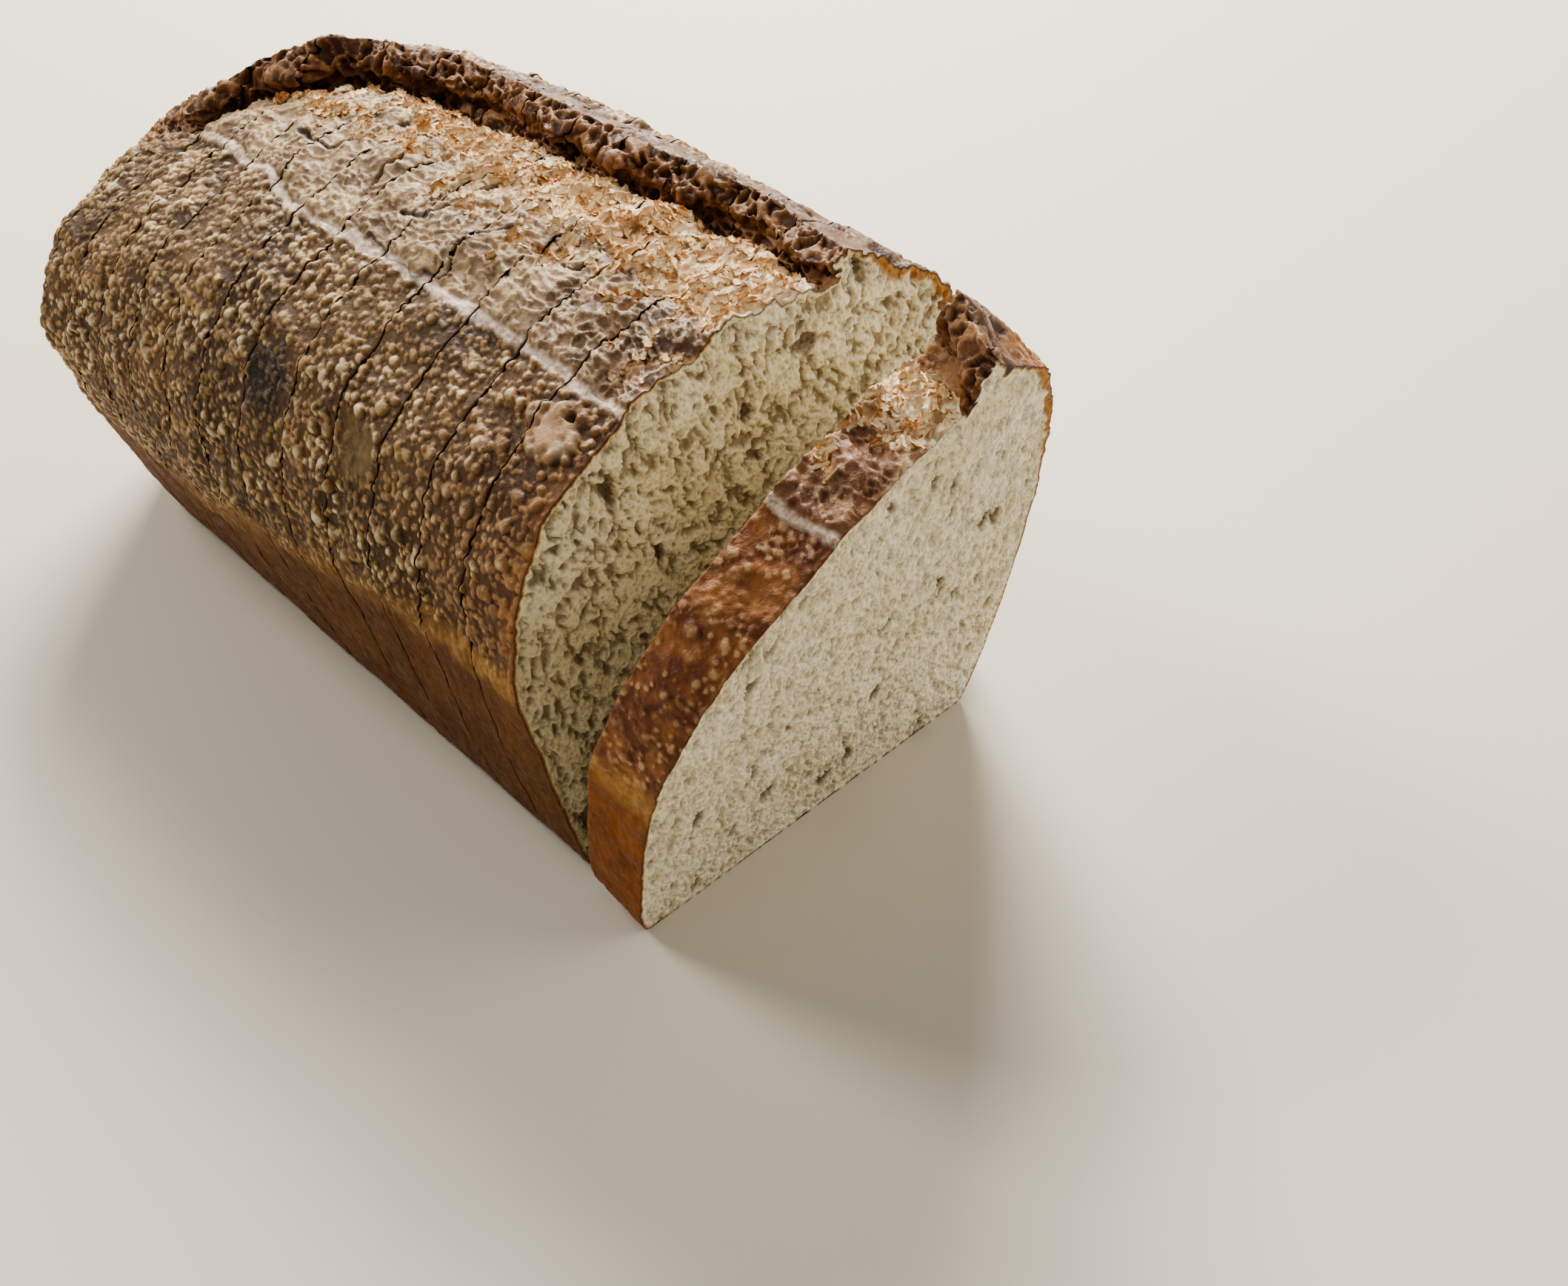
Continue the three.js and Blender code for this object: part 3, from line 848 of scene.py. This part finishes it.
def start_material(name):
    """A new material, its shader and the object's own coordinates"""
    material = bpy.data.materials.new(name)
    material.use_nodes = True
    shader = material.node_tree.nodes["Principled BSDF"]
    place = material.node_tree.nodes.new("ShaderNodeTexCoord")
    return material, shader, Wire(material.node_tree, place.outputs["Object"])


def shares_of(place, names):
    """The shares that a mesh carries, by their names"""
    shares = SimpleNamespace()
    for name in names:
        setattr(shares, name, place.node("ShaderNodeAttribute", {"attribute_name": name}, output="Fac"))
    return shares


def speckle(place, scale, detail=3.0, rough=0.6):
    """Noise from 0 to 1, at a scale for each metre"""
    inputs = {"Vector": place, "Scale": scale, "Detail": detail, "Roughness": rough}
    return place.node("ShaderNodeTexNoise", {}, inputs)


def finish_material(material, shader, place, colour, rough, relief, strength, reach):
    """Links a material's colour, roughness and bump"""
    inputs = {"Strength": strength, "Distance": reach, "Height": relief}
    bump = place.node("ShaderNodeBump", {}, inputs, "Normal")
    place.tree.links.new(colour.socket, shader.inputs["Base Color"])
    place.tree.links.new(rough.socket, shader.inputs["Roughness"])
    place.tree.links.new(bump.socket, shader.inputs["Normal"])
    return material


CRUST_SHARES = (
    "tin", "stripe", "torn", "plate", "plate_own", "crease", "comb", "ear", "burnt", "bald", "bubble",
    "chip", "front", "fresh", "warm", "dome", "flake", "hole", "high", "low", "streak", "crack",
    "wrinkle", "scales", "edge",
)


def skin_tone(place, crust):
    """Blistered skin: dark between the blisters, partly their own colour and partly painted shade, and pale
    on them, partly their own colour and partly a painted highlight, with its single marks
    """
    dome, front, middle = crust.dome, crust.front, crust.middle
    # Dark valleys between the blisters: partly their own colour, partly painted shade
    valley_and_shade = (front * 0.5).mix(crust.broad.mix("#4a3016", "#6e502c"), "#5e3416")
    slope = (front * 0.5).mix(crust.broad.mix("#8a6838", "#ab8552"), "#a06c3e")
    skin = dome.step(0.05, 0.5).mix(valley_and_shade, slope)
    # Pale blister tops: partly their own colour, partly a painted highlight
    tops_and_highlight = (dome + crust.fine * 0.2 - front * 0.1).step(0.6, 0.97)
    skin = tops_and_highlight.mix(skin, middle.mix("#cdb080", "#f4dfb4"))
    skin = (speckle(place, 130.0, 2.0).step(0.45, 0.6) * 0.3).mix(skin, "#5e4022")
    skin = (crust.burnt * 0.7).mix(skin, dome.mix("#120e0a", "#4a4032"))
    skin = (crust.bald * 0.55).mix(skin, middle.mix("#6c5529", "#917845"))
    skin = (crust.bubble * 0.9).mix(skin, middle.mix("#c3966a", "#eccca6"))
    skin = (crust.warm * 0.4).mix(skin, middle.mix("#9a5a22", "#bd8246"))
    baked = (middle + crust.broad * 0.4 - 0.2).mix("#6a3412", "#ab6e38")
    # Pale dots on the leaning slice's blister tops: partly their own colour, partly a painted highlight
    baked = ((dome + crust.fine * 0.2).step(0.55, 0.95) * 0.8).mix(baked, "#d8ab7a")
    return (crust.fresh * 0.9).mix(skin, baked)


def plate_tone(place, crust):
    """Plates beside the tear: dusted, scaly and darker in front"""
    front, middle = crust.front, crust.middle
    patches = speckle(place, 110.0, 2.0).step(0.42, 0.58)
    plates = (middle * 0.6 + crust.plate_own * 0.5).mix("#8a6646", "#d3b68c")
    plates = (front * 0.75).mix(plates, middle.mix("#4f2c1b", "#8f6243"))
    plates = (patches * (0.35 + front * 0.3)).mix(plates, "#4a2b20")
    dust = (crust.scales * 0.6 + crust.fine * 0.4).step(0.5, 0.9) * 0.8
    plates = dust.mix(plates, crust.broad.mix("#d0b184", "#e6cfa6"))
    # Painted shade in the cracks
    plates = crust.crack.mix(plates, "#3d240e")
    # Painted shade in the crease
    plates = (crust.crease * 0.8).mix(plates, "#4a2f18")
    return (crust.fresh * 0.6).mix(plates, middle.mix("#6a3616", "#9e6c3c"))


def tear_tone(crust):
    """Torn crust: pale, and toasted where its fibres stand up"""
    tear = crust.middle.mix("#fff0cc", "#ecc992")
    tear = (crust.flake.step(0.5, 1.0) * 0.6).mix(tear, crust.broad.mix("#ad6c34", "#cc9356"))
    return (crust.fine * 0.25).mix(tear, "#c8935a")


def comb_tone(crust):
    """Honeycomb wall under the ear: browned rims with painted shade in the holes between them, darkest in
    the gutter low down, and honey brown where it has none
    """
    # Painted shade in the honeycomb's holes, and painted shadow in the gutter low down
    holes = crust.low.mix(crust.middle.mix("#4a2a14", "#6e4424"), "#2e1a0c")
    pitted = crust.hole.mix(crust.fine.mix("#845428", "#ac8258"), holes)
    return crust.high.mix(crust.middle.mix("#7c4c1c", "#a87a40"), pitted)


def wall_tone(crust):
    """Smooth wall that the tin left"""
    wall = crust.broad.mix("#623602", "#724406")
    wall = (crust.wrinkle * crust.middle * 0.4).mix(wall, "#8e6020")
    wall = (crust.fine * 0.25).mix(wall, "#6a3c06")
    return (crust.fresh * (0.3 + crust.middle * 0.6)).mix(wall, "#a05816")


def crust_material():
    """Crust of every kind, by the shares that its mesh carries"""
    material, shader, place = start_material("crust")
    crust = shares_of(place, CRUST_SHARES)
    crust.broad = speckle(place, 45.0, 2.0).step(0.35, 0.65)
    crust.middle = speckle(place, 190.0, 3.0).step(0.3, 0.7)
    crust.fine = speckle(place, 800.0, 2.0).step(0.3, 0.7)
    tin, torn, middle, fine = crust.tin, crust.torn, crust.middle, crust.fine

    colour = tin.mix(skin_tone(place, crust), wall_tone(crust))
    haze = (tin * (1.0 - tin) * 4.0) * (0.35 + crust.front * 0.4)
    colour = haze.mix(colour, fine.mix("#a5732c", "#c99a55"))
    colour = crust.plate.mix(colour, plate_tone(place, crust))
    colour = torn.mix(colour, tear_tone(crust))
    colour = crust.comb.mix(colour, comb_tone(crust))
    colour = crust.ear.mix(colour, crust.streak.mix(middle.mix("#6c4c34", "#957354"), "#3d261b"))
    colour = crust.stripe.mix(colour, fine.mix("#bb9a80", "#f0dcc4"))
    border = torn * (1.0 - torn) * 4.0
    colour = (border * 0.45).mix(colour, middle.mix("#8a4a1c", "#b87436"))
    # Painted shade in the cracks and in the nicks along the cuts
    colour = (crust.crack * 0.7).mix(colour, "#3a2412")
    # Painted shade in the small chip's hollow
    colour = (crust.chip * 0.7).mix(colour, "#4a2c12")
    # Painted shade along the cut lines between slices
    colour = (crust.edge.step(0.4, 1.0) * 0.2).mix(colour, "#4a2c12")
    rough = 0.5 + 0.25 * fine - 0.25 * crust.dome + 0.2 * tin
    return finish_material(material, shader, place, colour, rough, speckle(place, 1500.0, 3.0), 0.6, 0.0004)


def flake_material():
    """Flakes, pale at their roots and toasted at their tips"""
    material, shader, place = start_material("flake_crust")
    middle = speckle(place, 190.0, 3.0).step(0.3, 0.7)
    fine = speckle(place, 900.0, 2.0).step(0.3, 0.7)
    root = middle.mix("#fbeac2", "#e6c48e")
    end = fine.mix("#a9682f", "#d09a5c")
    colour = (shares_of(place, ["tip"]).tip + middle * 0.3).step(0.4, 1.1).mix(root, end)
    shader.inputs["Specular IOR Level"].default_value = 0.35
    rough = 0.55 + 0.2 * fine
    return finish_material(material, shader, place, colour, rough, speckle(place, 1500.0, 3.0), 0.5, 0.0003)


def crumb_material():
    """Crumb with small cells and pores, both darkened with painted shade, browned near the crust"""
    material, shader, place = start_material("crumb")
    cut = shares_of(place, ("pore", "brown", "rind"))
    broad = speckle(place, 60.0, 2.0).step(0.35, 0.65)
    fine = speckle(place, 700.0, 3.0).step(0.3, 0.7)
    small = place.node("ShaderNodeTexVoronoi", {}, {"Vector": place, "Scale": 950.0})
    colour = broad.mix("#f0e3c0", "#f9eed2")
    colour = (fine * 0.25).mix(colour, "#d3bb88")
    # Painted shade in the small cells
    colour = ((1.0 - small.step(0.1, 0.5)) * 0.4).mix(colour, "#a38c66")
    # Painted shade deep in the pores
    colour = (cut.pore.step(0.1, 1.0) * 0.85).mix(colour, "#7a6650")
    browned = (cut.brown + cut.brown * fine * 0.3).step(0.1, 1.1)
    colour = browned.mix(colour, fine.mix("#9c6a34", "#bd8d54"))
    # Painted shade near the crust where the next slice hides this cut face
    colour = cut.rind.mix(colour, "#2e1a0b")
    shader.inputs["Specular IOR Level"].default_value = 0.3
    shader.inputs["Subsurface Weight"].default_value = 0.1
    shader.inputs["Subsurface Radius"].default_value = (0.003, 0.002, 0.001)
    relief = small + 0.5 * speckle(place, 1500.0, 3.0)
    return finish_material(material, shader, place, colour, 0.65 + 0.2 * fine, relief, 0.8, 0.0007)


FLOOR_SIZE = 4


def build_floor():
    bpy.ops.mesh.primitive_plane_add(size=FLOOR_SIZE, location=(0, 0, 0))
    floor = bpy.context.object
    floor.name = "floor"
    material, shader, place = start_material("pale_floor")
    tone = speckle(place, 3.0, 2.0).mix("#d8cfbd", "#dcd4c4")
    place.tree.links.new(tone.socket, shader.inputs["Base Color"])
    shader.inputs["Roughness"].default_value = 0.6
    floor.data.materials.append(material)


# Lamps as (name, place in metres, size in metres, watts)
LAMPS = (
    ("window", (0.6, 0.6, 0.75), 0.5, 25),
    ("sky", (-0.4, 0.7, 0.95), 0.4, 8),
    ("fill", (0.7, -0.75, 0.5), 0.8, 5.2),
)
LAMP_COLOUR = (1.0, 0.97, 0.92)
ROOM_COLOUR, ROOM_STRENGTH = (0.95, 0.97, 1.0, 1), 0.2


def build_light():
    world = bpy.data.worlds.new("studio")
    world.use_nodes = True
    world.node_tree.nodes["Background"].inputs["Color"].default_value = ROOM_COLOUR
    world.node_tree.nodes["Background"].inputs["Strength"].default_value = ROOM_STRENGTH
    bpy.context.scene.world = world
    bpy.context.scene.view_settings.look = "AgX - Medium High Contrast"
    for name, place, size, energy in LAMPS:
        bpy.ops.object.light_add(type="AREA", location=place)
        lamp = bpy.context.object
        lamp.name = name
        lamp.data.size = size
        lamp.data.energy = energy
        lamp.data.color = LAMP_COLOUR
        lamp.rotation_euler = Vector(place).to_track_quat("Z", "Y").to_euler()


# Camera in the loaf's own millimetres: its place, its right, up and back directions, and its lens
CAMERA_PLACE = np.array([-177.72, -221.75, 267.82])
CAMERA_AXES = np.array([[0.7506, -0.6588, -0.0508], [0.4559, 0.4606, 0.7616], [-0.4784, -0.5948, 0.6460]])
FOCAL_PIXELS, IMAGE_WIDTH, SENSOR = 2655, 2117, 36


def build_camera():
    bpy.ops.object.camera_add()
    camera = bpy.context.object
    camera.name = "photo_camera"
    place = (CAMERA_PLACE + TO_FRAME) / MILLIMETRES
    rows = np.column_stack([CAMERA_AXES.T, place])
    camera.matrix_world = Matrix(rows.tolist() + [[0, 0, 0, 1]])
    camera.data.sensor_width = SENSOR
    camera.data.lens = SENSOR * FOCAL_PIXELS / IMAGE_WIDTH
    camera.data.clip_start = 0.01
    bpy.context.scene.camera = camera


def build_loaf():
    """The leaning slice, the even slices that stand together, and the rest of the loaf to its whole end"""
    stations = np.linspace(-THICKNESS, 0, ROWS_IN_SLICE)
    build_piece("leaning_slice", stations, "crumb", (LEANING_PITCH, BACK_PITCH), **FIRST_SLICE)
    for i in range(EVEN_SLICES):
        start = i * CUT_PITCH
        stations = np.linspace(start, start + THICKNESS, ROWS_IN_SLICE)
        front = HIDDEN_PITCH if i else STANDING_PITCH
        build_piece(f"slice_{i + 1:02d}", stations, "crust", (front, HIDDEN_PITCH))
    start = EVEN_SLICES * CUT_PITCH
    turns = np.linspace(0, math.pi / 2, ROWS_IN_END)
    stations = start + (LOAF_LENGTH - start) * np.sin(turns)
    build_piece("end_piece", stations, "crust", (HIDDEN_PITCH, END_PITCH))


CRUST = crust_material()
CRUMB = crumb_material()
FLAKE_CRUST = flake_material()
FLAKE = flake_model()
build_loaf()
build_floor()
build_light()
build_camera()
